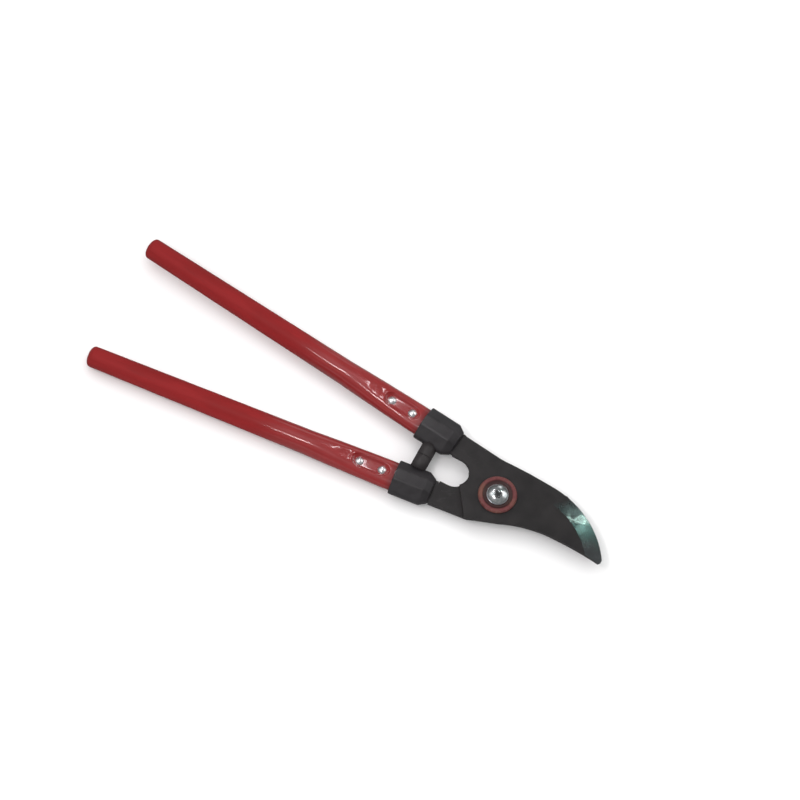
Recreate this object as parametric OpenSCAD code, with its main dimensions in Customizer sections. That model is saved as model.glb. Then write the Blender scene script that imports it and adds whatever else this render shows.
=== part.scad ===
// Two-handed bypass lopper, closed. Real size in millimetres.
// +X runs from the handle ends to the blade tip, along the line midway between the handles.
// +Z is up, along the pivot bolt. The origin is on the pivot axis, at the rear end of the bolt.
// The upper handle, on the +Y side, carries the cutting blade. The lower one carries the hook blade.

/* [Blades] */
// Thickness of each blade plate
plate_thickness = 4; // [3:0.5:4.5]
// Radius of the cutting edge
edge_radius = 89.2; // [88.5:0.1:90]
// Radial width of the ground bevel
bevel_width = 15.2; // [10:0.1:17]
// Thickness left at the cutting edge
edge_land = 0.6; // [0.4:0.1:1.2]
// Farthest reach of the blade tip from the pivot axis
tip_reach = 110.9; // [109:0.1:112]
// Radius of the hook's inner edge
hook_radius = 80; // [79:0.1:81]
// Radius of the opening between the shanks
opening_radius = 13; // [11:0.1:13.5]

/* [Handles] */
// Length of each handle behind its ferrule
handle_length = 297; // [260:0.5:360]
// Angle of each handle to the centre line
splay_angle = 5.85; // [5:0.05:6.5]
// Sleeve diameter at the rear end
rear_diameter = 19.5; // [18:0.1:21]
// Sleeve diameter where the round grip ends
front_diameter = 23.1; // [22:0.1:23.5]
// Width of the flattened end
flat_width = 27.6; // [26.5:0.1:28]
// Thickness of the flattened end
flat_thickness = 15.5; // [15:0.1:17]
// Thickness of the vinyl sleeve
sleeve_wall = 1.3; // [1:0.1:1.6]
// Wall of the steel tube
tube_wall = 1.4; // [1:0.1:1.6]
// Distance between the two rivets of a handle
rivet_pitch = 22.1; // [21.5:0.1:24]
// Diameter of a rivet head
rivet_head_diameter = 8.4; // [7:0.1:9.5]

/* [Ferrules and bumpers] */
// Length of a ferrule
ferrule_length = 36.5; // [35:0.1:38]
// Width of a ferrule
ferrule_width = 33.2; // [32:0.1:34]
// Thickness of a ferrule
ferrule_thickness = 21.5; // [21:0.1:23]
// Diameter of the bumpers
bumper_diameter = 14.4; // [12:0.1:15.5]

/* [Pivot] */
// Diameter of the bolt's smooth shoulder
shoulder_diameter = 11.2; // [10.8:0.1:12]
// Diameter of the domed bolt head
head_diameter = 19; // [17:0.1:20]
// Diameter of the cup around the bolt head
cup_diameter = 35.6; // [32:0.1:37]
// Height of the cup
cup_height = 2.8; // [2.4:0.1:4]
// Thickness of the nut
nut_height = 5.5; // [5:0.1:7]

/* [Hidden] */
$fn = 96;

// Small distance by which a cutting shape passes the face it cuts
over = 0.5;
// Gap between parts that slide or only just touch
gap = 0.05;

// Heights, counted from the shear plane
washer_thickness = 1.6;
spring_washer_thickness = 2.2;
thread_end = 1.2;
washer_low = -plate_thickness - washer_thickness;
spring_low = washer_low - spring_washer_thickness;
nut_low = spring_low - nut_height;
bolt_low = nut_low - thread_end;
shear_height = -bolt_low;
blade_low = gap;
blade_top = blade_low + plate_thickness;
cup_low = blade_top + gap;
cup_floor = 1.2;
head_washer_low = cup_low + cup_floor;
head_washer_thickness = 1;
head_low = head_washer_low + head_washer_thickness;
upper_mid = blade_low + plate_thickness / 2;
lower_mid = -plate_thickness / 2;

// Plan of the blades
centre_shift = 1.45;
upper_ferrule_x = -91.2;
lower_ferrule_x = -90.5;
ferrule_y = 28.95;
fine = 360;
seam = 0.01;
edge_top = 32.7;
edge_centre = [35.6, edge_top - edge_radius];
cutting_outline = [
  [-53.5, 0], [-44, 0], [-35, -7], [-17, -33.2], [-15, -33.4], [15.7, -22.2],
  [edge_centre[0], -16.5], [edge_centre[0], edge_top], [16, 33.2], [-8, 32.4],
  [-13.5, 32.6], [-53.5, 37.1]
];
blade_low_end = -16;
back_centre = [64, -131.8];
back_radius = 120;
back_tip_centre = [72, -311.7];
back_tip_radius = 300;
tip_corner = [[0.4, -11.6], [-3, -15.6], [0.4, -17]];
bevel_from = [43, -20];
bevel_lead = 72;
bevel_skew = 7;
bevel_run = 1;
bevel_slope = bevel_width / (plate_thickness - edge_land);
grind_from = [12, 30.2];
grind_rear = 14;
grind_length = 56;
grind_turn = 9.7;
grind_slope = 23.7;
relief_slope = 2.5;
relief_low = 1;
relief_start = 6;
hook_centre = [43.5, 15.5 - hook_radius];
hook_outline = [
  [-52, -36], [-14.6, -32], [-9, -29.6], [8, -22], [18, -9],
  [edge_centre[0], 12], [edge_centre[0], 31], [-8, 30.8], [-15, 30],
  [-35, 7], [-44, 0], [-52, 0]
];
hook_outer_radius = edge_radius - 1.7;
hook_low_end = -8.5;
hook_boss_radius = 20.5;
hook_tip = [100.8, -8.4];
hook_tip_angle = 32;
hook_tip_cut = 20;
throat_radius = 17;
throat_angle = 98;
throat_reach = hook_radius - throat_radius;
throat_centre = hook_centre + throat_reach * [cos(throat_angle), sin(throat_angle)];
throat_tangent = hook_centre + hook_radius * [cos(throat_angle), sin(throat_angle)];
opening_centre = [-44, centre_shift];
shank_width = 22;
shank_start = 10;
shank_end = 39.5;
tang_width = 19;
tang_length = 44;
tang_corner = 4;

// Handle section along its axis, counted forward from the ferrule's rear face
sleeve_front = 8;
flatten_start = -84;
flatten_end = -8;
dome_depth = 5.5;
dome_power = 2.3;
dome_steps = 6;
section_power = 2.1;
section_points = 48;
flatten_steps = 10;
tube_rear = 7 - handle_length;
plug_flange = 2;
plug_length = 12;
plug_wall = 1.6;
section_fit = 0.03;

// Rivets and the dents they sit in
rivet_front = -11.9;
rivet_rear = rivet_front - rivet_pitch;
rivet_radius = 2.4;
rivet_fit = 0.02;
dent_radius = 5.2;
dent_reach = 12;
dent_points = 40;
tube_seat = plate_thickness / 2 + gap + tube_wall;
sleeve_seat = tube_seat + sleeve_wall;
diagonal = sqrt(2);
rivet_head_height = 1.9;

// Ferrule and bumper sections
ferrule_top = 10.6;
ferrule_side = 6;
ferrule_taper_start = ferrule_length - 7;
ferrule_edge = 1.2;
ferrule_edge_length = 0.8;
ferrule_nose_width = 24;
ferrule_nose_thickness = 12;
bumper_x = -75.4;
bumper_socket = 2.5;
bumper_parting = 1.35;

// Pivot hardware
thread_radius = 5;
thread_fit = 0.03;
shoulder_radius = shoulder_diameter / 2;
running_fit = 0.05;
washer_radius = 11;
spring_washer_radius = 8.6;
spring_slit = 1.6;
slit_angle = 25;
nut_corner_radius = 9.2;
nut_chamfer = 1;
head_washer_radius = 9.9;
head_rim = 0.9;
head_dome = 3.5;
socket_radius = 3;
socket_depth = 2.2;
cup_rim = 4.4;
cup_recess_radius = 12;
cup_round = 0.8;
thread_depth = 0.6;

blade_steel = [0.24, 0.23, 0.24];
bright_steel = [0.80, 0.81, 0.82];
handle_red = [0.66, 0.12, 0.14];
cup_red = [0.62, 0.28, 0.28];
ferrule_black = [0.13, 0.12, 0.13];
rubber_black = [0.09, 0.09, 0.09];
tube_steel = [0.55, 0.56, 0.58];

// Half width and half thickness of the handle at a station, before any inset
function blend(t) = t * t * (3 - 2 * t);
function flat_at(s) = max(0, min(1, (s - flatten_start) / (flatten_end - flatten_start)));
function flatness(s) = blend(flat_at(s));
function widening(s) = flat_at(s) * (1.4 - 0.4 * flat_at(s));
function taper(s) = max(0, min(1, (s + handle_length) / (flatten_start + handle_length)));
function round_radius(s) = (rear_diameter + (front_diameter - rear_diameter) * taper(s)) / 2;
function half_width(s) = round_radius(s) + (flat_width / 2 - round_radius(s)) * widening(s);
function half_thick(s) = round_radius(s) + (flat_thickness / 2 - round_radius(s)) * flatness(s);
function power_at(s) = 2 + (section_power - 2) * flatness(s);
function signed_power(v, p) = sign(v) * pow(abs(v), p);

// One ring of points round the section at a station
function section_ring(s, inset, shrink) = [
  for (i = [0 : section_points - 1])
    let (a = 360 * i / section_points, p = 2 / power_at(s))
      [s,
       shrink * (half_width(s) - inset) * signed_power(cos(a), p),
       shrink * (half_thick(s) - inset) * signed_power(sin(a), p)]
];

// Stations of the flattening part between two limits
function flatten_stations(last) = [
  for (i = [0 : flatten_steps]) flatten_start + (last - flatten_start) * i / flatten_steps
];

// Solid skinned through rings of points
module skin(rings) {
  n = len(rings[0]);
  last = len(rings) - 1;
  points = [for (ring = rings) for (p = ring) p];
  sides = [
    for (k = [0 : last - 1])
      for (i = [0 : n - 1])
        let (j = (i + 1) % n, a = k * n, b = a + n)
          each [[a + i, b + i, a + j], [a + j, b + i, b + j]]
  ];
  rear_cap = [[for (i = [0 : n - 1]) i]];
  front_cap = [[for (i = [0 : n - 1]) last * n + n - 1 - i]];
  polyhedron(points, concat(sides, rear_cap, front_cap), convexity = 4);
}

// Handle solid from a rear station to a front station, with its surface moved inwards
module handle_solid(rear, front, inset) {
  stations = concat([rear], flatten_stations(front));
  skin([for (s = stations) section_ring(s, inset, 1)]);
}

// Sleeve outside with its domed rear end
module sleeve_solid() {
  dome = [
    for (i = [0 : dome_steps])
      let (a = 16 + 74 * i / dome_steps,
           depth = dome_depth * (1 - pow(cos(a), 2 / dome_power)),
           r = pow(sin(a), 2 / dome_power))
        [-handle_length + depth, r]
  ];
  dome_rings = [for (d = dome) section_ring(d[0], 0, d[1])];
  body_rings = [for (s = flatten_stations(sleeve_front)) section_ring(s, 0, 1)];
  skin(concat(dome_rings, body_rings));
}

// Position of a ferrule's rear face on either side of the centre line
function ferrule_x(side) = side > 0 ? upper_ferrule_x : lower_ferrule_x;
function axis_y(side, x) = side * centre_shift + ferrule_y + (ferrule_x(side) - x) * tan(splay_angle);

// Placement on a handle: local +X runs forward along the handle axis from the ferrule's rear face
module on_handle(side, mid) {
  translate([ferrule_x(side), side * axis_y(side, ferrule_x(side)), shear_height + mid])
    rotate([0, 0, -side * splay_angle])
      children();
}

module on_handle_plan(side) {
  translate([ferrule_x(side), side * axis_y(side, ferrule_x(side))])
    rotate([0, 0, -side * splay_angle])
      children();
}

// Placement at a rivet's station along the handle
module at_rivet(s) {
  translate([s, 0, 0])
    children();
}

// The same shape on both faces of the handle
module both_faces() {
  children();
  mirror([0, 0, 1])
    children();
}

// Long pressed seat for both rivets, with sloping sides and its floor at the given height
module dent(seat, floor_radius) {
  both_faces()
    hull()
      for (s = [rivet_front, rivet_rear])
        translate([s, 0, seat])
          cylinder(h = dent_reach - seat, r1 = floor_radius, r2 = floor_radius + dent_reach - seat,
            $fn = dent_points);
}

// Bore for a rivet through the whole handle
module rivet_hole() {
  cylinder(h = 4 * dent_reach, r = rivet_radius + rivet_fit, center = true);
}

/* Steel tube: tapered, flattened at the front and dented down onto the tang at both rivets */
module steel_tube() {
  dent_outer = dent_radius + tube_wall * diagonal - tube_wall;
  difference() {
    intersection() {
      handle_solid(tube_rear, sleeve_front, sleeve_wall + section_fit);
      difference() {
        translate([-2 * handle_length, -handle_length, -handle_length])
          cube([4 * handle_length, 2 * handle_length, 2 * handle_length]);
        difference() {
          handle_solid(tube_rear - over, sleeve_front + over, sleeve_wall + tube_wall);
          dent(tube_seat - tube_wall, dent_outer);
        }
      }
    }
    dent(tube_seat, dent_radius);
    for (s = [rivet_front, rivet_rear])
      at_rivet(s)
        rivet_hole();
  }
}

/* Vinyl sleeve: closed domed end, dented round each rivet head */
module vinyl_sleeve() {
  dent_inner = dent_radius - sleeve_wall * diagonal + sleeve_wall;
  difference() {
    sleeve_solid();
    difference() {
      handle_solid(tube_rear - plug_flange, sleeve_front + over, sleeve_wall);
      dent(tube_seat + gap, dent_radius - gap);
    }
    dent(sleeve_seat, dent_inner);
    for (s = [rivet_front, rivet_rear])
      at_rivet(s)
        rivet_hole();
  }
}

/* Plug that closes the tube's rear end under the sleeve */
module end_plug() {
  outer = rear_diameter / 2 - sleeve_wall - gap;
  spigot = outer - tube_wall - gap;
  translate([tube_rear, 0, 0])
    rotate([0, 90, 0])
      difference() {
        union() {
          translate([0, 0, -plug_flange])
            cylinder(h = plug_flange, r = outer);
          cylinder(h = plug_length, r = spigot);
        }
        cylinder(h = plug_length + over, r = spigot - plug_wall);
      }
}

/* Rivet with a domed head on each face */
module rivet() {
  head_radius = rivet_head_diameter / 2;
  dome_radius = (head_radius * head_radius + rivet_head_height * rivet_head_height)
    / (2 * rivet_head_height);
  cylinder(h = 2 * sleeve_seat, r = rivet_radius, center = true);
  both_faces()
    translate([0, 0, sleeve_seat])
      intersection() {
        translate([0, 0, rivet_head_height - dome_radius])
          sphere(r = dome_radius);
        cylinder(h = rivet_head_height + over, r = head_radius + over);
      }
}

// Eight-sided section of the ferrule, drawn across the handle axis
module ferrule_section(width, thickness, top, side) {
  polygon([
    [side / 2, width / 2], [thickness / 2, top / 2],
    [thickness / 2, -top / 2], [side / 2, -width / 2],
    [-side / 2, -width / 2], [-thickness / 2, -top / 2],
    [-thickness / 2, top / 2], [-side / 2, width / 2]
  ]);
}

module ferrule_slab(s, width, thickness, top, side) {
  translate([s, 0, 0])
    rotate([0, 90, 0])
      linear_extrude(seam)
        ferrule_section(width, thickness, top, side);
}

/* Faceted ferrule, with a pocket for the sleeve, a slot for the plate and a socket for the bumper */
module ferrule(side, mid) {
  difference() {
    on_handle(side, mid)
      difference() {
        hull() {
          ferrule_slab(0, ferrule_width - ferrule_edge, ferrule_thickness - ferrule_edge,
            ferrule_top, ferrule_side);
          ferrule_slab(ferrule_edge_length, ferrule_width, ferrule_thickness, ferrule_top,
            ferrule_side);
          ferrule_slab(ferrule_taper_start, ferrule_width, ferrule_thickness, ferrule_top,
            ferrule_side);
          ferrule_slab(ferrule_length - seam, ferrule_nose_width, ferrule_nose_thickness,
            ferrule_top, ferrule_side);
        }
        skin([section_ring(-over, -gap, 1), section_ring(sleeve_front + gap, -gap, 1)]);
        translate([0, -tang_width / 2 - gap, -plate_thickness / 2 - gap])
          cube([ferrule_length, tang_width + 2 * gap, plate_thickness + 2 * gap]);
        translate([shank_start - gap, -shank_width / 2 - gap, -plate_thickness / 2 - gap])
          cube([ferrule_length, shank_width + 2 * gap, plate_thickness + 2 * gap]);
      }
    bumper_bar(side, gap);
  }
}

// Bumper cylinder from the contact plane into the ferrule, grown by the given amount
module bumper_bar(side, grow) {
  base = axis_y(side, bumper_x) - ferrule_width / 2 - side * bumper_parting;
  length = base + bumper_socket - gap / 2;
  translate([bumper_x, bumper_parting + side * gap / 2, shear_height])
    rotate([-side * 90, 0, 0])
      cylinder(h = length + grow, r = bumper_diameter / 2 + grow);
}

// Plan of the tang and shank of one plate
module shank_plan(side) {
  on_handle_plan(side) {
    translate([tang_corner - tang_length, tang_corner - tang_width / 2])
      circle(r = tang_corner);
    translate([tang_corner - tang_length, tang_width / 2 - tang_corner])
      circle(r = tang_corner);
    translate([-tang_length, tang_corner - tang_width / 2])
      square([tang_length, tang_width - 2 * tang_corner]);
    translate([tang_corner - tang_length, -tang_width / 2])
      square([tang_length + shank_start, tang_width]);
    translate([shank_start, -shank_width / 2])
      square([shank_end - shank_start, shank_width]);
  }
}

// Holes through a plate's tang for both rivets of its handle
module tang_holes(side) {
  on_handle_plan(side)
    for (s = [rivet_front, rivet_rear])
      at_rivet(s)
        rivet_hole();
}

module opening_plan() {
  translate(opening_centre)
    circle(r = opening_radius);
  translate([opening_centre[0] - 2 * opening_radius, opening_centre[1] - opening_radius])
    square([2 * opening_radius, 2 * opening_radius]);
}

// Outline of the cutting blade
module cutting_plan() {
  difference() {
    union() {
      shank_plan(1);
      polygon(cutting_outline);
      intersection() {
        translate(edge_centre)
          circle(r = edge_radius, $fn = fine);
        translate([edge_centre[0] - seam, blade_low_end])
          square([tip_reach - edge_centre[0], edge_radius]);
      }
    }
    translate(back_centre)
      circle(r = back_radius, $fn = fine);
    intersection() {
      translate(back_tip_centre)
        circle(r = back_tip_radius, $fn = 2 * fine);
      translate([back_centre[0], -edge_radius])
        square([edge_radius, edge_radius]);
    }
    translate([tip_reach, 0])
      polygon(tip_corner);
    opening_plan();
  }
}

// Outline of the hook blade
module hook_plan() {
  difference() {
    union() {
      shank_plan(-1);
      polygon(hook_outline);
      circle(r = hook_boss_radius);
      intersection() {
        translate(edge_centre)
          circle(r = hook_outer_radius, $fn = fine);
        translate([edge_centre[0] - seam, hook_low_end])
          square([edge_radius, edge_radius]);
      }
    }
    intersection() {
      translate(hook_centre)
        circle(r = hook_radius, $fn = fine);
      translate([throat_tangent[0], hook_centre[1]])
        square([2 * hook_radius, 2 * hook_radius]);
    }
    translate(throat_centre)
      circle(r = throat_radius);
    translate(hook_tip)
      rotate([0, 0, hook_tip_angle])
        translate([-hook_tip_cut, -hook_tip_cut])
          square([2 * hook_tip_cut, hook_tip_cut]);
    opening_plan();
  }
}

module cutting_blade() {
  color(blade_steel)
    translate([0, 0, shear_height + blade_low])
      difference() {
        linear_extrude(plate_thickness)
          cutting_plan();
        // Ground bevel along the curved edge
        intersection() {
          difference() {
            translate([edge_centre[0], edge_centre[1], edge_land - bevel_run])
              cylinder(h = plate_thickness + bevel_run, r = edge_radius + bevel_width, $fn = fine);
            translate([edge_centre[0], edge_centre[1], edge_land - bevel_run])
              cylinder(h = plate_thickness + 2 * bevel_run,
                r1 = edge_radius + bevel_run * bevel_slope,
                r2 = edge_radius - (plate_thickness + bevel_run) * bevel_slope, $fn = fine);
          }
          translate([bevel_from[0], bevel_from[1], plate_thickness])
            rotate([0, -bevel_lead, -bevel_skew])
              translate([0, bevel_from[1], -edge_radius])
                cube([2 * edge_radius, 2 * edge_radius, 2 * edge_radius]);
        }
        // Narrow grind that fades out towards the pivot
        translate([grind_from[0], grind_from[1], plate_thickness])
          rotate([0, 0, -grind_turn])
            rotate([-grind_slope, 0, 0])
              translate([-grind_rear, 0, 0])
                cube([grind_length, grind_length, grind_length]);
        cylinder(h = 4 * plate_thickness, r = shoulder_radius + running_fit, center = true);
        tang_holes(1);
      }
}

module hook_blade() {
  color(blade_steel)
    translate([0, 0, shear_height - plate_thickness])
      difference() {
        linear_extrude(plate_thickness)
          hook_plan();
        // Relief behind the hook's inner edge
        intersection() {
          translate([hook_centre[0], hook_centre[1], -over])
            cylinder(h = plate_thickness, r1 = hook_radius + relief_slope * (relief_low + over),
              r2 = hook_radius + relief_slope * (relief_low + over - plate_thickness), $fn = fine);
          translate([throat_tangent[0] + relief_start, -hook_radius, -2 * over])
            cube([2 * hook_radius, 2 * hook_radius, plate_thickness]);
        }
        cylinder(h = 4 * plate_thickness, r = thread_radius + thread_fit, center = true);
        tang_holes(-1);
      }
}

module pivot_bolt() {
  head_radius = head_diameter / 2;
  dome_radius = (head_radius * head_radius + head_dome * head_dome) / (2 * head_dome);
  color(bright_steel)
    translate([0, 0, shear_height])
      difference() {
        union() {
          translate([0, 0, nut_low])
            cylinder(h = -nut_low, r = thread_radius);
          rotate_extrude()
            polygon([
              [0, bolt_low], [thread_radius - thread_depth, bolt_low],
              [thread_radius, bolt_low + thread_depth],
              [thread_radius - thread_depth, nut_low], [0, nut_low]
            ]);
          cylinder(h = head_low, r = shoulder_radius);
          translate([0, 0, head_low])
            cylinder(h = head_rim, r = head_radius);
          translate([0, 0, head_low + head_rim])
            intersection() {
              translate([0, 0, head_dome - dome_radius])
                sphere(r = dome_radius);
              cylinder(h = head_dome + over, r = head_radius + over);
            }
        }
        translate([0, 0, head_low + head_rim + head_dome - socket_depth])
          cylinder(h = socket_depth + over, r = socket_radius, $fn = 6);
      }
}

module pivot_cup() {
  outer = cup_diameter / 2;
  color(cup_red)
    translate([0, 0, shear_height + cup_low])
      rotate_extrude()
        polygon([
          [shoulder_radius + running_fit, 0], [outer - cup_round, 0], [outer, cup_round],
          [outer - cup_round / 2, cup_height - cup_round], [outer - 1.5 * cup_round, cup_height],
          [outer - cup_rim + cup_round, cup_height], [outer - cup_rim, cup_height - cup_round],
          [cup_recess_radius, cup_floor], [shoulder_radius + running_fit, cup_floor]
        ]);
}

module head_washer() {
  color(bright_steel)
    translate([0, 0, shear_height + head_washer_low])
      difference() {
        cylinder(h = head_washer_thickness, r = head_washer_radius);
        translate([0, 0, -over])
          cylinder(h = head_washer_thickness + 2 * over, r = shoulder_radius + running_fit);
      }
}

module rear_washer() {
  color(bright_steel)
    translate([0, 0, shear_height + washer_low])
      difference() {
        cylinder(h = washer_thickness, r = washer_radius);
        translate([0, 0, -over])
          cylinder(h = washer_thickness + 2 * over, r = thread_radius + thread_fit);
      }
}

module spring_washer() {
  color(bright_steel)
    translate([0, 0, shear_height + spring_low])
      difference() {
        cylinder(h = spring_washer_thickness, r = spring_washer_radius);
        translate([0, 0, -over])
          cylinder(h = spring_washer_thickness + 2 * over, r = thread_radius + thread_fit);
        rotate([0, slit_angle, 0])
          translate([0, -spring_slit / 2, -spring_washer_radius])
            cube([2 * spring_washer_radius, spring_slit, 2 * spring_washer_radius]);
      }
}

module pivot_nut() {
  color(bright_steel)
    translate([0, 0, shear_height + nut_low])
      difference() {
        intersection() {
          cylinder(h = nut_height, r = nut_corner_radius, $fn = 6);
          cylinder(h = nut_height, r1 = nut_corner_radius - nut_chamfer,
            r2 = nut_corner_radius - nut_chamfer + nut_height);
          cylinder(h = nut_height, r1 = nut_corner_radius - nut_chamfer + nut_height,
            r2 = nut_corner_radius - nut_chamfer);
        }
        translate([0, 0, -over])
          cylinder(h = nut_height + 2 * over, r = thread_radius + thread_fit);
      }
}

module upper_tube() {
  color(tube_steel)
    on_handle(1, upper_mid)
      steel_tube();
}

module lower_tube() {
  color(tube_steel)
    on_handle(-1, lower_mid)
      steel_tube();
}

module upper_sleeve() {
  color(handle_red)
    on_handle(1, upper_mid)
      vinyl_sleeve();
}

module lower_sleeve() {
  color(handle_red)
    on_handle(-1, lower_mid)
      vinyl_sleeve();
}

module upper_end_plug() {
  color(rubber_black)
    on_handle(1, upper_mid)
      end_plug();
}

module lower_end_plug() {
  color(rubber_black)
    on_handle(-1, lower_mid)
      end_plug();
}

module upper_ferrule() {
  color(ferrule_black)
    ferrule(1, upper_mid);
}

module lower_ferrule() {
  color(ferrule_black)
    ferrule(-1, lower_mid);
}

module upper_bumper() {
  color(rubber_black)
    bumper_bar(1, 0);
}

module lower_bumper() {
  color(rubber_black)
    bumper_bar(-1, 0);
}

module upper_rivet_front() {
  color(bright_steel)
    on_handle(1, upper_mid)
      at_rivet(rivet_front)
        rivet();
}

module upper_rivet_rear() {
  color(bright_steel)
    on_handle(1, upper_mid)
      at_rivet(rivet_rear)
        rivet();
}

module lower_rivet_front() {
  color(bright_steel)
    on_handle(-1, lower_mid)
      at_rivet(rivet_front)
        rivet();
}

module lower_rivet_rear() {
  color(bright_steel)
    on_handle(-1, lower_mid)
      at_rivet(rivet_rear)
        rivet();
}

cutting_blade();
hook_blade();
pivot_bolt();
pivot_cup();
head_washer();
rear_washer();
spring_washer();
pivot_nut();
upper_tube();
lower_tube();
upper_sleeve();
lower_sleeve();
upper_end_plug();
lower_end_plug();
upper_ferrule();
lower_ferrule();
upper_bumper();
lower_bumper();
upper_rivet_front();
upper_rivet_rear();
lower_rivet_front();
lower_rivet_rear();
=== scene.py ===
"""Looks for the two-handed bypass lopper.

Lengths are in millimetres, and angles in radians, unless a name says otherwise.
"""

import math

import bmesh
import bpy
import numpy as np
from mathutils import Matrix, Vector, noise


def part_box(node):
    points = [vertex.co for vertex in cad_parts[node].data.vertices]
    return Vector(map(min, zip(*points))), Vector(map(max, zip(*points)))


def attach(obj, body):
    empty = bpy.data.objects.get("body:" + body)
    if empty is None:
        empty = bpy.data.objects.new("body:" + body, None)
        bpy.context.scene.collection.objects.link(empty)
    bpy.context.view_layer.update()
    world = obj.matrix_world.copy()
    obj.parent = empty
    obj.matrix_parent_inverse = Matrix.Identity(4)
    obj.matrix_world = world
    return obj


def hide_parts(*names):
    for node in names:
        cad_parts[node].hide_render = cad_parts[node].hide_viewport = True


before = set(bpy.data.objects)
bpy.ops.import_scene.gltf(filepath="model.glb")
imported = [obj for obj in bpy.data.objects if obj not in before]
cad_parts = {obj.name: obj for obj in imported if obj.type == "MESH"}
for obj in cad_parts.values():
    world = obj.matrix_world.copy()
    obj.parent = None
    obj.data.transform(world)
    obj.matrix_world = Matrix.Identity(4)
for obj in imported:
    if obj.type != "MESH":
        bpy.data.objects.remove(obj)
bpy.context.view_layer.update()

MM = 0.001
SIDES = ("upper", "lower")
UP = Vector((0, 0, 1))

# Handle section, counted forward from the ferrule's rear face
HANDLE_LENGTH = 297
REAR_DIAMETER = 19.5
FRONT_DIAMETER = 23.1
FLAT_WIDTH = 27.6
FLAT_THICKNESS = 15.5
FLATTEN_START = -84
FLATTEN_END = -8
EARLY_WIDENING = 0.4
SECTION_POWER = 2.1

# Sleeve
SLEEVE_FRONT = 8
SLEEVE_WALL = 1.3
DOME_DEPTH = 5.5
DOME_POWER = 2.3
DOME_RINGS = 16
DOME_FIRST_DEG = 4
RING_POINTS = 180
TRACE_POINTS = 2881
COARSE_END = -140
MIDDLE_END = -60
OUTER_SPACING = (3, 1.6, 0.45)
INNER_SPACING = (12, 6, 1.5)

# Slight unevenness of the vinyl
WAVE_HEIGHT = 0.07
WAVE_LENGTH = 17
WAVE_ACROSS = 5.5

# Long pad pressed round the rivets
RIVET_FRONT = -11.9
SEAT_HEIGHT = 4.75
SEAT_RADIUS = 5.1
SEAT_SLOPE = 1.7
SEAT_FOOT = 0.55
SEAT_RIM = 0.4
PRESSED_ABOVE = 1

# Place along and across the handle, half length, half width and depth of each dent behind the pad
SCOOPS = ((-44.5, 0.4, 4.2, 3.6, 1.0), (-51.5, -0.8, 4.5, 3.0, 0.55), (-48.5, 2.6, 2.6, 1.8, 0.35))

# Ferrule
FERRULE_LENGTH = 36.5
FERRULE_WIDTH = 33.2
FERRULE_THICKNESS = 21.5
FERRULE_TOP = 10.6
FERRULE_SIDE = 6
FERRULE_TAPER = 7
NOSE_WIDTH = 24
NOSE_THICKNESS = 12
CORNER_RADIUS = 3.2
CORNER_POINTS = 7
CORNER_REACH = 1.6
CORNER_SHARE = 0.42
POCKET_GAP = 0.25
POCKET_EDGE = 0.3
MOUTH_HALF = (11.3, 2.3)
MOUTH_POWER = 9
MOUTH_DEPTH = 2
WEIGHTED_NORMAL = 60

# Distance ahead of the rear face, and inset, of the rings that round the ferrule's rear rim
REAR_RIM = ((0, 1), (0.12, 0.6), (0.4, 0.25), (1.1, 0), (8, 0), (18, 0))
# The same for the shoulder and the nose, counted forward from where the taper starts or ends
SHOULDER = ((-0.6, 0), (0, 0.08), (0.7, 0.03))
NOSE_RIM = ((-0.8, 0), (-0.25, 0.2), (0, 0.75))

# Distance from the contact end, and inset, of the rings that round it
BUMPER_RIM = ((0, 1.2), (0.03, 0.55), (0.12, 0.25), (0.3, 0.08), (0.6, 0))
BUMPER_STEP_DEG = 5

# Centre of each blade's curved edge, and the radius at which its grinding lines are measured
CUTTING_CENTRE = (35.6, -56.5)
HOOK_CENTRE = (43.5, -64.5)
EDGE_RADIUS = 89
MID_BEVEL_RADIUS = 83
GLEAM_SLANT = 0.007

# View from which the tool is seen: turn in the ground plane, tilt from vertical and roll
PLANE_TURN = math.radians(15.44)
TILT = math.radians(22)
ROLL = math.radians(12.84388)
PLANE_X = Vector((math.cos(PLANE_TURN), math.sin(PLANE_TURN), 0))
PLANE_Y = Vector((-math.sin(PLANE_TURN), math.cos(PLANE_TURN), 0))
UPRIGHT = PLANE_Y * math.cos(TILT) + UP * math.sin(TILT)
VIEW_BACK = UP * math.cos(TILT) - PLANE_Y * math.sin(TILT)
VIEW_RIGHT = PLANE_X * math.cos(ROLL) + UPRIGHT * math.sin(ROLL)
VIEW_UP = UPRIGHT * math.cos(ROLL) - PLANE_X * math.sin(ROLL)


def clamp01(t):
    return min(1.0, max(0.0, t))


def centre(box):
    return (box[0] + box[1]) / 2


def handle_frame(side):
    """Matrix from a handle's own millimetres to the row frame, and the pitch of its rivets.

    +X runs forward along the handle and +Z up.
    """
    front = centre(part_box(f"{side}_rivet_front"))
    rear = centre(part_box(f"{side}_rivet_rear"))
    ahead = (front - rear).normalized()
    across = Vector((-ahead.y, ahead.x, 0))
    origin = front - ahead * RIVET_FRONT * MM
    turn = Matrix((ahead, across, UP)).transposed().to_4x4()
    return Matrix.Translation(origin) @ turn @ Matrix.Scale(MM, 4), (front - rear).length / MM


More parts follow.
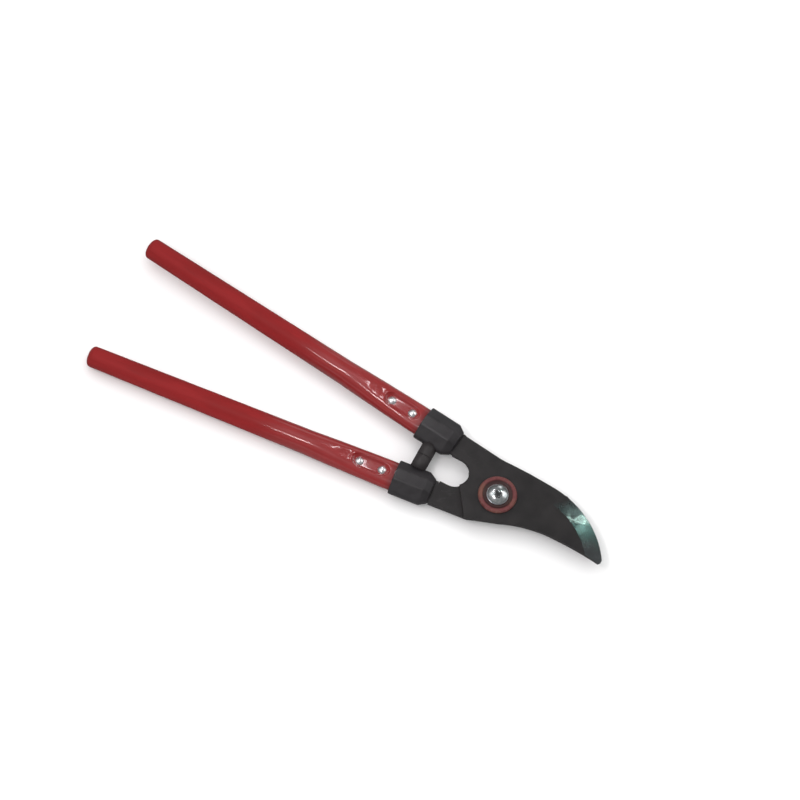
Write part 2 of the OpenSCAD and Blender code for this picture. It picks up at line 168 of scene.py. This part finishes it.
def add_mesh(name, points, faces, place, side, replaced):
    """Adds a closed smooth mesh given in local millimetres, and keeps those as an attribute."""
    mesh = bpy.data.meshes.new(name)
    mesh.from_pydata([tuple(place @ Vector(p)) for p in points], [], faces)
    local = mesh.attributes.new("local", "FLOAT_VECTOR", "POINT")
    local.data.foreach_set("vector", np.asarray(points, np.float32).ravel())
    bm = bmesh.new()
    bm.from_mesh(mesh)
    bmesh.ops.recalc_face_normals(bm, faces=bm.faces)
    bm.to_mesh(mesh)
    bm.free()
    mesh.shade_smooth()
    piece = bpy.data.objects.new(name, mesh)
    bpy.context.scene.collection.objects.link(piece)
    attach(piece, "blade_arm" if side == "upper" else "hook_arm")
    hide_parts(replaced)
    return piece


def loft(rings, ends):
    """Points and faces of a skin through rings of equal count, with flat or pole ends."""
    count = len(rings[0])
    points = [p for ring in rings for p in ring]
    faces = []
    for k in range(len(rings) - 1):
        for i in range(count):
            j = (i + 1) % count
            faces.append((k * count + i, k * count + j, (k + 1) * count + j, (k + 1) * count + i))
    for ring, base in ((rings[0], 0), (rings[-1], (len(rings) - 1) * count)):
        if ends == "pole":
            pole = len(points)
            points.append(tuple(np.mean(ring, axis=0)))
            faces += [(base + i, base + (i + 1) % count, pole) for i in range(count)]
        else:
            faces.append(tuple(range(base, base + count)))
    return points, faces


# Sleeves

def half_size(s):
    """Half width, half thickness and superellipse power of the handle at a station."""
    t = clamp01((s - FLATTEN_START) / (FLATTEN_END - FLATTEN_START))
    flatness = t * t * (3 - 2 * t)
    widening = t * (1 + EARLY_WIDENING - EARLY_WIDENING * t)
    taper = clamp01((s + HANDLE_LENGTH) / (FLATTEN_START + HANDLE_LENGTH))
    radius = (REAR_DIAMETER + (FRONT_DIAMETER - REAR_DIAMETER) * taper) / 2
    wide = radius + (FLAT_WIDTH / 2 - radius) * widening
    thick = radius + (FLAT_THICKNESS / 2 - radius) * flatness
    return wide, thick, 2 + (SECTION_POWER - 2) * flatness


def even_ring(wide, thick, power, count):
    """Evenly spaced points round a superellipse."""
    a = np.linspace(0, 2 * np.pi, TRACE_POINTS)
    y = wide * np.sign(np.cos(a)) * np.abs(np.cos(a)) ** (2 / power)
    z = thick * np.sign(np.sin(a)) * np.abs(np.sin(a)) ** (2 / power)
    run = np.concatenate([[0], np.cumsum(np.hypot(np.diff(y), np.diff(z)))])
    at = np.linspace(0, run[-1], count, endpoint=False)
    return np.interp(at, run, y), np.interp(at, run, z)


def pressed(s, y, z, pitch, inset):
    """Heights after the long pad and the dents behind it are pressed into both faces."""
    rear = RIVET_FRONT - pitch
    beyond = max(0.0, rear - s, s - RIVET_FRONT)
    away = np.hypot(beyond, y)
    rise = SEAT_FOOT * np.log1p(np.exp((away - SEAT_RADIUS) / SEAT_FOOT))
    seat = SEAT_HEIGHT - inset + SEAT_SLOPE * rise
    scoop = 0
    for at, aside, length, width, depth in SCOOPS:
        bell = math.exp(-((s - at) / length) ** 2)
        scoop = scoop + depth * bell * np.exp(-((y - aside) / width) ** 2)
    height = np.abs(z)
    scooped = np.where(height > PRESSED_ABOVE, height - scoop, height)
    low = np.minimum(scooped, seat)
    gap = np.abs(scooped - seat)
    rim = SEAT_RIM * np.log1p(np.exp(-gap / SEAT_RIM)) * (height > PRESSED_ABOVE)
    return np.sign(z) * (low - rim)


def waviness(s, y, z):
    """Slight unevenness of the vinyl, from -1 to 1."""
    return np.array([noise.noise(Vector((s / WAVE_LENGTH, a / WAVE_ACROSS, b / WAVE_ACROSS)))
                     for a, b in zip(y, z)])


def sleeve_ring(s, inset, shrink, pitch):
    wide, thick, power = half_size(s)
    y, z = even_ring(shrink * (wide - inset), shrink * (thick - inset), power, RING_POINTS)
    if inset == 0 and s < 0:
        away = np.maximum(np.hypot(y, z), 1)
        sink = WAVE_HEIGHT * (waviness(s, y, z) - 1) * shrink
        y, z = y + y / away * sink, z + z / away * sink
    if shrink == 1:
        z = pressed(s, y, z, pitch, inset)
    return [(s, float(a), float(b)) for a, b in zip(y, z)]


def sleeve_shell(inset, spacing, pitch):
    """Rings of one face of the sleeve, from the dome forward."""
    rings = []
    start = -HANDLE_LENGTH + inset
    deep = DOME_DEPTH - inset / 2
    for a in np.radians(np.linspace(DOME_FIRST_DEG, 90, DOME_RINGS)):
        depth = deep * (1 - math.cos(a) ** (2 / DOME_POWER))
        rings.append(sleeve_ring(start + depth, inset, math.sin(a) ** (2 / DOME_POWER), pitch))
    coarse = np.arange(start + deep + spacing[0], COARSE_END, spacing[0])
    middle = np.arange(COARSE_END, MIDDLE_END, spacing[1])
    fine = np.arange(MIDDLE_END, SLEEVE_FRONT, spacing[2])
    for s in (*coarse, *middle, *fine, SLEEVE_FRONT):
        rings.append(sleeve_ring(float(s), inset, 1, pitch))
    return rings


def make_sleeve(side):
    place, pitch = handle_frame(side)
    outer = sleeve_shell(0, OUTER_SPACING, pitch)
    inner = sleeve_shell(SLEEVE_WALL, INNER_SPACING, pitch)
    points, faces = loft(outer + inner[::-1], "pole")
    return add_mesh(f"{side}_grip_sleeve", points, faces, place, side,
                    f"{side}_sleeve")


# Ferrules

def rounded_octagon(width, thickness, top, side, radius):
    """Ring of an eight-sided section with rounded corners."""
    quarter = [(width / 2, side / 2), (top / 2, thickness / 2)]
    corners = quarter + [(-y, z) for y, z in quarter[::-1]]
    corners += [(-y, -z) for y, z in quarter] + [(y, -z) for y, z in quarter[::-1]]
    ring = []
    for k, corner in enumerate(corners):
        here = Vector(corner)
        before = Vector(corners[k - 1]) - here
        after = Vector(corners[(k + 1) % len(corners)]) - here
        reach = min(radius * math.tan(before.angle(-after) / 2) * CORNER_REACH,
                    before.length * CORNER_SHARE, after.length * CORNER_SHARE)
        a = here + before.normalized() * reach
        b = here + after.normalized() * reach
        for t in np.linspace(0, 1, CORNER_POINTS):
            ring.append((1 - t) ** 2 * a + 2 * t * (1 - t) * here + t * t * b)
    return ring


def ferrule_ring(s, inset):
    t = clamp01((s - FERRULE_LENGTH + FERRULE_TAPER) / FERRULE_TAPER)
    width = FERRULE_WIDTH + (NOSE_WIDTH - FERRULE_WIDTH) * t - 2 * inset
    thickness = FERRULE_THICKNESS + (NOSE_THICKNESS - FERRULE_THICKNESS) * t - 2 * inset
    return rounded_octagon(width, thickness, FERRULE_TOP - inset, FERRULE_SIDE - inset,
                           CORNER_RADIUS)


def matched_ring(ring, half_y, half_z, power):
    """Superellipse points in the same directions as another ring's points."""
    made = []
    for y, z in ring:
        angle = math.atan2(z, y)
        c, s = abs(math.cos(angle)) / half_y, abs(math.sin(angle)) / half_z
        reach = (c ** power + s ** power) ** (-1 / power)
        made.append((reach * math.cos(angle), reach * math.sin(angle)))
    return made


def make_ferrule(side):
    place, _ = handle_frame(side)
    wide, thick, power = half_size(0)
    end = FERRULE_LENGTH
    shell = list(REAR_RIM)
    shell += [(end - FERRULE_TAPER + ahead, inset) for ahead, inset in SHOULDER]
    shell += [(end + ahead, inset) for ahead, inset in NOSE_RIM]
    outer = [(s, ferrule_ring(s, inset)) for s, inset in shell]
    pocket = matched_ring(outer[0][1], wide + POCKET_GAP, thick + POCKET_GAP, power)
    mouth = matched_ring(outer[-1][1], *MOUTH_HALF, MOUTH_POWER)
    rings = [(SLEEVE_FRONT + POCKET_GAP, pocket), (POCKET_EDGE, pocket)] + outer
    rings += [(end, mouth), (end - MOUTH_DEPTH, mouth)]
    points, faces = loft([[(s, p[0], p[1]) for p in ring] for s, ring in rings], "flat")
    piece = add_mesh(f"{side}_moulded_ferrule", points, faces, place, side,
                     f"{side}_ferrule")
    piece.modifiers.new("weighted", "WEIGHTED_NORMAL").weight = WEIGHTED_NORMAL
    return piece


# Bumpers

def make_bumper(side):
    """Round rubber bar along Y, with a softened contact end."""
    low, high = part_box(f"{side}_bumper")
    radius = (high.x - low.x) / 2 / MM
    length = (high.y - low.y) / MM
    toward = 1 if side == "upper" else -1
    contact = low.y if side == "upper" else high.y
    profile = [(d, radius - inset) for d, inset in BUMPER_RIM]
    profile += [(length / 2, radius), (length, radius)]
    turns = np.radians(np.arange(0, 360, BUMPER_STEP_DEG))
    rings = [[(d, r * math.cos(a), r * math.sin(a)) for a in turns] for d, r in profile]
    points, faces = loft(rings, "flat")
    middle = centre((low, high))
    turn = Matrix(((0, 1, 0), (toward, 0, 0), (0, 0, 1))).to_4x4()
    place = Matrix.Translation((middle.x, contact, middle.z)) @ turn @ Matrix.Scale(MM, 4)
    return add_mesh(f"{side}_rubber_bumper", points, faces, place, side,
                    f"{side}_bumper")


# Materials

class Graph:
    """Small helper that builds the nodes of a material or a world."""

    def __init__(self, tree):
        self.tree = tree
        self.tree.nodes.clear()

    def node(self, kind, inputs, **settings):
        made = self.tree.nodes.new("ShaderNode" + kind)
        for key, value in settings.items():
            setattr(made, key, value)
        for key, value in inputs.items():
            self.feed(made.inputs[key], value)
        return made

    def feed(self, socket, value):
        if isinstance(value, bpy.types.NodeSocket):
            self.tree.links.new(value, socket)
        else:
            socket.default_value = value

    def vector(self, kind, a, b=None):
        inputs = {0: a} if b is None else {0: a, 1: b}
        return self.node("VectorMath", inputs, operation=kind).outputs

    def scaled(self, vector, by):
        return self.vector("MULTIPLY", vector, by)[0]

    def math(self, kind, a, b=0.0, c=0.0):
        return self.node("Math", {0: a, 1: b, 2: c}, operation=kind).outputs[0]

    def axis(self, which, vector):
        return self.node("SeparateXYZ", {0: vector}).outputs[which]

    def remap(self, value, low, high, to_low=0.0, to_high=1.0, smooth=True):
        kind = "SMOOTHSTEP" if smooth else "LINEAR"
        inputs = {"Value": value, "From Min": low, "From Max": high, "To Min": to_low,
                  "To Max": to_high}
        return self.node("MapRange", inputs, interpolation_type=kind).outputs[0]


class Surface(Graph):
    """One node material, with patterns measured in millimetres."""

    def __init__(self, name, local=False):
        self.material = bpy.data.materials.new(name)
        self.material.use_nodes = True
        super().__init__(self.material.node_tree)
        self.output = self.node("OutputMaterial", {})
        if local:
            self.place = self.node("Attribute", {}, attribute_name="local").outputs["Vector"]
        else:
            here = self.node("TexCoord", {}).outputs["Object"]
            self.place = self.scaled(here, (1 / MM,) * 3)

    def noise(self, size, detail=3.0, roughness=0.5, place=None, distortion=0.0):
        """Noise whose features are about the given millimetres along each axis."""
        size = size if isinstance(size, tuple) else (size,) * 3
        at = self.scaled(place or self.place, tuple(1 / v for v in size))
        inputs = {"Vector": at, "Scale": 1.0, "Detail": detail, "Roughness": roughness,
                  "Distortion": distortion}
        return self.node("TexNoise", inputs).outputs["Fac"]

    def spread(self, value, to_low=0.0, to_high=1.0):
        """Stretches the usual range of a noise over the given one."""
        return self.remap(value, 0.3, 0.7, to_low, to_high)

    def blend(self, amount, a, b):
        a = (*a, 1) if isinstance(a, tuple) else a
        b = (*b, 1) if isinstance(b, tuple) else b
        return self.node("Mix", {"Factor": amount, 6: a, 7: b}, data_type="RGBA").outputs[2]

    def from_axis(self, vector):
        """Distance from the Z axis."""
        return self.vector("LENGTH", self.scaled(vector, (1, 1, 0)))["Value"]

    def bump(self, height, depth, normal=None):
        """Bump from a height of 0 to 1 that stands for the given depth in millimetres."""
        inputs = {"Height": height, "Distance": depth * MM, "Strength": 1.0}
        if normal is not None:
            inputs["Normal"] = normal
        return self.node("Bump", inputs).outputs[0]

    def soft_edges(self, radius):
        return self.node("Bevel", {"Radius": radius * MM}, samples=6).outputs[0]

    def finish(self, **inputs):
        named = {key.replace("_", " "): value for key, value in inputs.items()}
        shader = self.node("BsdfPrincipled", named)
        self.tree.links.new(shader.outputs[0], self.output.inputs["Surface"])
        return self.material


RED_DEEP = (0.198, 0.0118, 0.0122)
RED_LIGHT = (0.234, 0.0142, 0.0152)
RED_STREAK = (0.172, 0.0125, 0.0145)
RED_SPECK = (0.12, 0.011, 0.013)
# Darker red right by the ferrule
RED_BY_FERRULE = (0.07, 0.008, 0.009)
GLOSS_START = -150
GLOSS_FULL = -82
DARKENING_START = -7
DARKENING_FULL = -1


def vinyl_red():
    """Red vinyl, dull at the rear and glossy towards the rivets, darker right by the ferrule."""
    g = Surface("vinyl_red", local=True)
    along = g.axis(0, g.place)
    shine = g.remap(along, GLOSS_START, GLOSS_FULL)
    cloud = g.noise((38, 9, 9), 4)
    streak = g.noise((26, 1.4, 1.4), 3)
    speck = g.noise(0.45, 2)
    red = g.blend(g.spread(cloud), RED_DEEP, RED_LIGHT)
    red = g.blend(g.remap(streak, 0.45, 0.8, 0, 0.35), red, RED_STREAK)
    # Darker in patches over the last few millimetres before the ferrule's rear face
    by_ferrule = g.remap(along, DARKENING_START, DARKENING_FULL)
    ferrule_darkening = g.math("MULTIPLY", by_ferrule, g.remap(cloud, 0.2, 0.7, 0.2, 0.6))
    red = g.blend(ferrule_darkening, red, RED_BY_FERRULE)
    red = g.blend(g.remap(speck, 0.66, 0.8, 0, 0.3), red, RED_SPECK)
    matt = g.math("ADD", g.remap(shine, 0, 1, 0.5, 0.34), g.spread(cloud, -0.05, 0.07))
    peel = g.bump(g.noise(1.3, 2), 0.01)
    return g.finish(Base_Color=red, Roughness=matt, Normal=g.bump(speck, 0.004, peel),
                    Specular_IOR_Level=g.remap(shine, 0, 1, 0.1, 0.25),
                    Coat_Weight=g.remap(shine, 0, 1, 0.0, 0.6),
                    Coat_Roughness=g.spread(cloud, 0.06, 0.12))


COATING_DARK = (0.012, 0.0105, 0.011)
COATING_LIGHT = (0.018, 0.0155, 0.016)
COATING_SMUDGE = (0.038, 0.035, 0.036)
COATING_GRAIN = (0.026, 0.0235, 0.024)
SHANK_START = -18
SHANK_FULL = -45
STEEL_DARK = (0.047, 0.056, 0.057)
# Painted highlight and painted reflections on the bare bevel
STEEL_PAINTED_HIGHLIGHT = (0.205, 0.25, 0.242)
STEEL_PAINTED_REFLECTION = (0.058, 0.093, 0.089)
STEEL_TIP_PAINTED_REFLECTION = (0.08, 0.083, 0.086)
STEEL_LINES = (0.04, 0.05, 0.05)

# Turn round the edge's centre between which the bevel becomes bare, then takes a painted
# highlight, a teal painted reflection and a dull one again
BARE_TURN = (1.42, 1.2)
BRIGHT_TURN = (1.15, 1.08)
TEAL_TURN = (1.05, 0.99)
TIP_TURN = (0.9, 0.66)

# Upward share of the normal that parts flat faces from the bevel, and the bevel from the sides
FLAT_SLOPE = (0.992, 0.986)
SIDE_SLOPE = (0.94, 0.965)


def coated_colour(g, cloud, fine):
    """Dark coating, with pale smudges on the shank."""
    shank = g.remap(g.axis(0, g.place), SHANK_START, SHANK_FULL)
    smudge = g.noise((9, 6, 9), 4, 0.65, distortion=1.2)
    dark = g.blend(g.spread(cloud), COATING_DARK, COATING_LIGHT)
    pale = g.math("MULTIPLY", g.remap(smudge, 0.56, 0.72, 0, 0.55), shank)
    dark = g.blend(pale, dark, COATING_SMUDGE)
    return g.blend(g.remap(fine, 0.6, 0.85, 0, 0.4), dark, COATING_GRAIN)


def ground_slope(g):
    """Share of bare steel by slope alone: the bevel's slopes, but no flat face or side wall."""
    level = g.math("ABSOLUTE", g.axis(2, g.node("NewGeometry", {}).outputs["True Normal"]))
    sloping = g.math("MULTIPLY", g.remap(level, *FLAT_SLOPE), g.remap(level, *SIDE_SLOPE))
    ragged = g.math("ADD", sloping, g.remap(g.noise(1.6, 3), 0.35, 0.7, -0.18, 0.12))
    return g.remap(ragged, 0.42, 0.58)


def coated_blade(name, edge_centre):
    """Dark coated plate with a bare ground bevel, its grinding lines square to the curved edge."""
    g = Surface(name)
    cloud = g.noise(14, 5, 0.6)
    fine = g.noise((0.25, 5, 0.25), 2)
    dark = coated_colour(g, cloud, fine)

    shifted = g.vector("SUBTRACT", g.place, (*edge_centre, 0))[0]
    angle = g.math("ARCTAN2", g.axis(1, shifted), g.axis(0, shifted))
    radius = g.from_axis(shifted)
    around = g.math("MULTIPLY", angle, EDGE_RADIUS)
    polar = g.node("CombineXYZ", {0: around, 1: radius, 2: 0.0}).outputs[0]
    lines = g.noise((0.22, 7, 1), 3, place=polar)
    broad = g.noise((7, 9, 1), 3, place=polar)
    upright = g.math("SUBTRACT", angle, GLEAM_SLANT * MID_BEVEL_RADIUS)
    slanted = g.math("MULTIPLY_ADD", radius, GLEAM_SLANT, upright)
    turn = g.math("ADD", slanted, g.spread(broad, -0.04, 0.04))
    # Painted highlight and painted reflection: the bare bevel's colour turns bright, then teal,
    # then dull towards the tip
    steel = g.blend(g.remap(turn, *BRIGHT_TURN), STEEL_DARK, STEEL_PAINTED_HIGHLIGHT)
    steel = g.blend(g.remap(turn, *TEAL_TURN), steel, STEEL_PAINTED_REFLECTION)
    steel = g.blend(g.remap(turn, *TIP_TURN), steel, STEEL_TIP_PAINTED_REFLECTION)
    steel = g.blend(g.remap(lines, 0.35, 0.75, 0, 0.45), steel, STEEL_LINES)

    ground = g.math("MULTIPLY", ground_slope(g), g.remap(turn, *BARE_TURN))
    rough = g.math("ADD", g.remap(ground, 0, 1, 0.43, 0.21, smooth=False),
                   g.spread(cloud, -0.05, 0.08))
    grain = g.bump(fine, 0.006, g.soft_edges(0.22))
    grind = g.bump(g.math("MULTIPLY", lines, ground), 0.012, grain)
    mottle = g.bump(g.noise(0.9, 3), 0.006, grind)
    return g.finish(Base_Color=g.blend(ground, dark, steel), Metallic=ground, Roughness=rough,
                    Normal=mottle, Specular_IOR_Level=0.35)


DUST = (0.055, 0.05, 0.05)
CLOUD_LIGHTER = 1.4


def moulded_black(name, colour, size, depth, rough, local=True):
    """Moulded plastic or rubber with a fine pebble texture and a little dust."""
    g = Surface(name, local)
    cloud = g.noise(9, 4)
    dust = g.noise(5, 6, 0.7)
    light = tuple(v * CLOUD_LIGHTER for v in colour)
    shade = g.blend(g.spread(cloud), colour, light)
    shade = g.blend(g.remap(dust, 0.6, 0.8, 0, 0.35), shade, DUST)
    matt = g.math("ADD", rough, g.spread(cloud, -0.06, 0.08))
    waves = g.bump(g.noise(8, 2), 0.05)
    pebble = g.bump(g.noise(size, 3, 0.6), depth, waves)
    return g.finish(Base_Color=shade, Roughness=matt, Normal=pebble, Specular_IOR_Level=0.4)


SCRATCH_DARKER = 0.62
# Painted shade in and round the bolt's socket
SOCKET_SHADE = (0.05, 0.05, 0.05)
SOCKET_SHADE_CENTRE = (0.5, -0.9, 0)
SOCKET_SHADE_EDGE = (4.0, 2.6)
SOCKET_SHADE_RAGGED = 1.3


def plated(name, colour, tint, rough, brushed, socket=False):
    """Plated metal with faint clouding and fine scratches, and painted shade in and round the
    bolt's socket.
    """
    g = Surface(name)
    cloud = g.noise(2.6, 4)
    scratch = g.noise(brushed, 2)
    shade = g.blend(g.remap(cloud, 0.35, 0.7), colour, tint)
    scored = tuple(v * SCRATCH_DARKER for v in colour)
    shade = g.blend(g.remap(scratch, 0.62, 0.8, 0, 0.35), shade, scored)
    if socket:
        # Painted shade: a ragged dark patch in and round the socket
        away = g.from_axis(g.vector("SUBTRACT", g.place, SOCKET_SHADE_CENTRE)[0])
        ragged = g.math("ADD", away, g.spread(g.noise(1.5, 3), -SOCKET_SHADE_RAGGED, SOCKET_SHADE_RAGGED))
        shade = g.blend(g.remap(ragged, *SOCKET_SHADE_EDGE, 0, 0.85), shade, SOCKET_SHADE)
    matt = g.math("ADD", rough, g.spread(cloud, -0.03, 0.07))
    normal = g.bump(scratch, 0.004, g.soft_edges(0.12))
    return g.finish(Base_Color=shade, Metallic=1.0, Roughness=matt, Normal=normal)


CUP_DEEP = (0.10, 0.023, 0.025)
CUP_LIGHT = (0.145, 0.034, 0.034)
CUP_WARM = (0.138, 0.054, 0.034)
CUP_WORN = (0.17, 0.105, 0.095)
# Painted shade for the recess round the bolt head
CUP_RECESS_SHADE = (0.022, 0.010, 0.009)
WORN_RADII = (16.2, 17.4)
RECESS_SHADE_RADII = (14.3, 13.1)


def cup_red():
    """Worn red cup, with painted shade in the recess round the bolt head."""
    g = Surface("painted_cup")
    cloud = g.noise(3.5, 4)
    ring = g.from_axis(g.place)
    chips = g.remap(g.noise(1.2, 4), 0.45, 0.65)
    worn = g.math("MULTIPLY", g.remap(ring, *WORN_RADII), chips)
    recess_shade = g.remap(ring, *RECESS_SHADE_RADII)
    shade = g.blend(g.spread(cloud), CUP_DEEP, CUP_LIGHT)
    shade = g.blend(g.remap(g.noise(16, 2), 0.4, 0.6, 0, 0.7), shade, CUP_WARM)
    shade = g.blend(g.math("MULTIPLY", worn, 0.6), shade, CUP_WORN)
    # Painted shade: the recess round the bolt head is darkened in the colour
    shade = g.blend(g.math("MULTIPLY", recess_shade, 0.85), shade, CUP_RECESS_SHADE)
    peel = g.bump(g.noise(0.8, 3), 0.012, g.soft_edges(0.3))
    return g.finish(Base_Color=shade, Roughness=g.spread(cloud, 0.36, 0.5), Normal=peel,
                    Specular_IOR_Level=0.4)


def paint(name, material):
    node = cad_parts[name]
    for slot in node.material_slots:
        slot.link = "OBJECT"
        slot.material = material


# Pieces and their materials

vinyl = vinyl_red()
nylon = moulded_black("moulded_nylon", (0.016, 0.0145, 0.016), 0.55, 0.022, 0.42)
rubber = moulded_black("bumper_rubber", (0.018, 0.0155, 0.016), 0.8, 0.03, 0.55)
plug = moulded_black("plug_plastic", (0.012, 0.012, 0.012), 0.6, 0.02, 0.5, local=False)
chrome = plated("bright_plating", (0.66, 0.67, 0.68), (0.45, 0.5, 0.5), 0.2, (0.12, 1.6, 1.6),
                socket=True)
zinc = plated("zinc_plating", (0.60, 0.61, 0.62), (0.52, 0.55, 0.60), 0.3, (0.12, 2.2, 2.2))
mill = plated("mill_finish_tube", (0.45, 0.46, 0.48), (0.38, 0.38, 0.39), 0.38, (9, 0.2, 0.2))
rivet = plated("rivet_plating", (0.86, 0.86, 0.87), (0.76, 0.77, 0.79), 0.27, (0.3, 0.3, 2))

for side in SIDES:
    make_sleeve(side).data.materials.append(vinyl)
    make_ferrule(side).data.materials.append(nylon)
    make_bumper(side).data.materials.append(rubber)
    paint(f"{side}_rivet_front", rivet)
    paint(f"{side}_rivet_rear", rivet)
    paint(f"{side}_tube", mill)
    paint(f"{side}_end_plug", plug)

paint("cutting_blade", coated_blade("coated_cutting_steel", CUTTING_CENTRE))
paint("hook_blade", coated_blade("coated_hook_steel", HOOK_CENTRE))
paint("pivot_bolt", chrome)
paint("pivot_cup", cup_red())
for name in ("head_washer", "rear_washer", "spring_washer", "pivot_nut"):
    paint(name, zinc)


# Floor, light and camera

# In metres
FLOOR_REACH = 6
CAMERA_DISTANCE = 27
CAMERA_CLIP_END = 50

# The view is centred this far from the pivot, in the plane of the picture
AIM_RIGHT = -87.39
AIM_UP = 87.12
CAMERA_LENS = 1350
CAMERA_SENSOR = 36

# Right and up share, tilt from the view direction and half spread in degrees, and strength
WINDOWS = ((0.88, 0.47, 66, 24, 1.5), (-0.75, 0.66, 52, 16, 0.7), (-0.6, -0.8, 64, 16, 0.7),
           (0.3, 0.95, 95, 12, 1.2), (0.2, -1.0, 80, 10, 0.5))
WINDOW_CORE = 0.55


FLOOR_WHITE = ((0.90, 0.90, 0.90), (0.92, 0.92, 0.92))
FLOOR_REFLECTED = (0.3, 0.3, 0.3)


def make_floor():
    """White floor, darker in reflections than to the eye."""
    mesh = bpy.data.meshes.new("floor")
    corners = [(x * FLOOR_REACH, y * FLOOR_REACH, 0)
               for x, y in ((-1, -1), (1, -1), (1, 1), (-1, 1))]
    mesh.from_pydata(corners, [], [(0, 1, 2, 3)])
    floor = bpy.data.objects.new("floor", mesh)
    bpy.context.scene.collection.objects.link(floor)
    g = Surface("pale_floor")
    shade = g.blend(g.noise(400, 3), *FLOOR_WHITE)
    mirrored = g.node("LightPath", {}).outputs["Is Glossy Ray"]
    shade = g.blend(mirrored, shade, FLOOR_REFLECTED)
    mesh.materials.append(g.finish(Base_Color=shade, Roughness=0.9, Specular_IOR_Level=0.1))


def make_world():
    """Bright even dome for soft light, and a darker one with a few windows for reflections."""
    world = bpy.data.worlds.new("studio")
    world.use_nodes = True
    g = Graph(world.node_tree)
    toward = g.node("TexCoord", {}).outputs["Generated"]
    height = g.axis(2, toward)
    diffuse = g.remap(height, 0.0, 0.8, 0.75, 1.15, smooth=False)
    glossy = g.remap(height, -0.2, 0.9, 0.08, 0.3)
    for right, up, tilt_deg, spread_deg, strength in WINDOWS:
        tilt = math.radians(tilt_deg)
        side = (VIEW_RIGHT * right + VIEW_UP * up).normalized()
        aim = VIEW_BACK * math.cos(tilt) + side * math.sin(tilt)
        near = g.vector("DOT_PRODUCT", toward, tuple(aim))["Value"]
        outer = math.cos(math.radians(spread_deg))
        inner = math.cos(math.radians(spread_deg * WINDOW_CORE))
        glossy = g.math("ADD", glossy, g.remap(near, outer, inner, 0, strength))
    path = g.node("LightPath", {}).outputs
    seen = g.node("Mix", {0: path["Is Glossy Ray"], 2: diffuse, 3: glossy}).outputs[0]
    seen = g.node("Mix", {0: path["Is Camera Ray"], 2: seen, 3: 1.0}).outputs[0]
    back = g.node("Background", {"Color": (1, 1, 1, 1), "Strength": seen})
    g.node("OutputWorld", {"Surface": back.outputs[0]})
    bpy.context.scene.world = world


def add_light(name, target, right_deg, up_deg, distance, size, power, colour):
    """Area light seen from the target at the given tilts from vertical. Lengths are in metres."""
    data = bpy.data.lights.new(name, "AREA")
    data.shape = "ELLIPSE"
    data.size, data.size_y = size
    data.energy = power
    data.color = colour
    right = PLANE_X * math.tan(math.radians(right_deg))
    ahead = PLANE_Y * math.tan(math.radians(up_deg))
    toward = (UP + right + ahead).normalized()
    upward = toward.cross(Vector((1, 0, 0))).normalized()
    facing = Matrix((upward.cross(toward), upward, toward)).transposed()
    light = bpy.data.objects.new(name, data)
    light.location = Vector(target) + toward * distance
    light.rotation_mode = "QUATERNION"
    light.rotation_quaternion = facing.to_quaternion()
    light.visible_camera = False
    bpy.context.scene.collection.objects.link(light)


def make_camera():
    """Long lens, so that the view has practically no perspective."""
    pivot = centre(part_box("pivot_bolt"))
    pivot.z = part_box("cutting_blade")[0].z
    target = pivot + (VIEW_UP * AIM_UP + VIEW_RIGHT * AIM_RIGHT) * MM
    data = bpy.data.cameras.new("camera")
    data.lens = CAMERA_LENS
    data.sensor_width = CAMERA_SENSOR
    data.clip_end = CAMERA_CLIP_END
    facing = Matrix((VIEW_RIGHT, VIEW_UP, VIEW_BACK)).transposed().to_4x4()
    camera = bpy.data.objects.new("camera", data)
    camera.matrix_world = Matrix.Translation(target + VIEW_BACK * CAMERA_DISTANCE) @ facing
    bpy.context.scene.collection.objects.link(camera)
    bpy.context.scene.camera = camera


make_floor()
make_world()
make_camera()

# Flashes for the gleams along the handles
for name, spot in (("upper_flash", (-0.365, -0.315, 0)), ("lower_flash", (-0.217, -0.411, 0))):
    add_light(name, spot, 0, 0, 0.93, (0.075, 0.045), 0.95, (1.0, 0.94, 0.96))

# Strip for the rivet pads, window for the bright part of the bevel, and a soft fill
rivets = centre((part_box("upper_rivet_rear")[0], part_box("lower_rivet_rear")[1]))
pads = rivets + Vector((0.002, 0, 0))
bevel = (0.075, 0.015, 0.018)
add_light("strip", pads, 0, 22, 0.2, (0.007, 0.1), 0.06, (1.0, 0.93, 0.97))
add_light("window", bevel, 20, 41, 1.2, (0.07, 0.07), 0.42, (0.82, 1.0, 0.93))
add_light("softbox", (0, 0, 0), -25, 10, 1.6, (1.2, 1.2), 2.4, (1.0, 1.0, 1.0))

scene = bpy.context.scene
scene.view_settings.view_transform = "Standard"
scene.view_settings.look = "None"
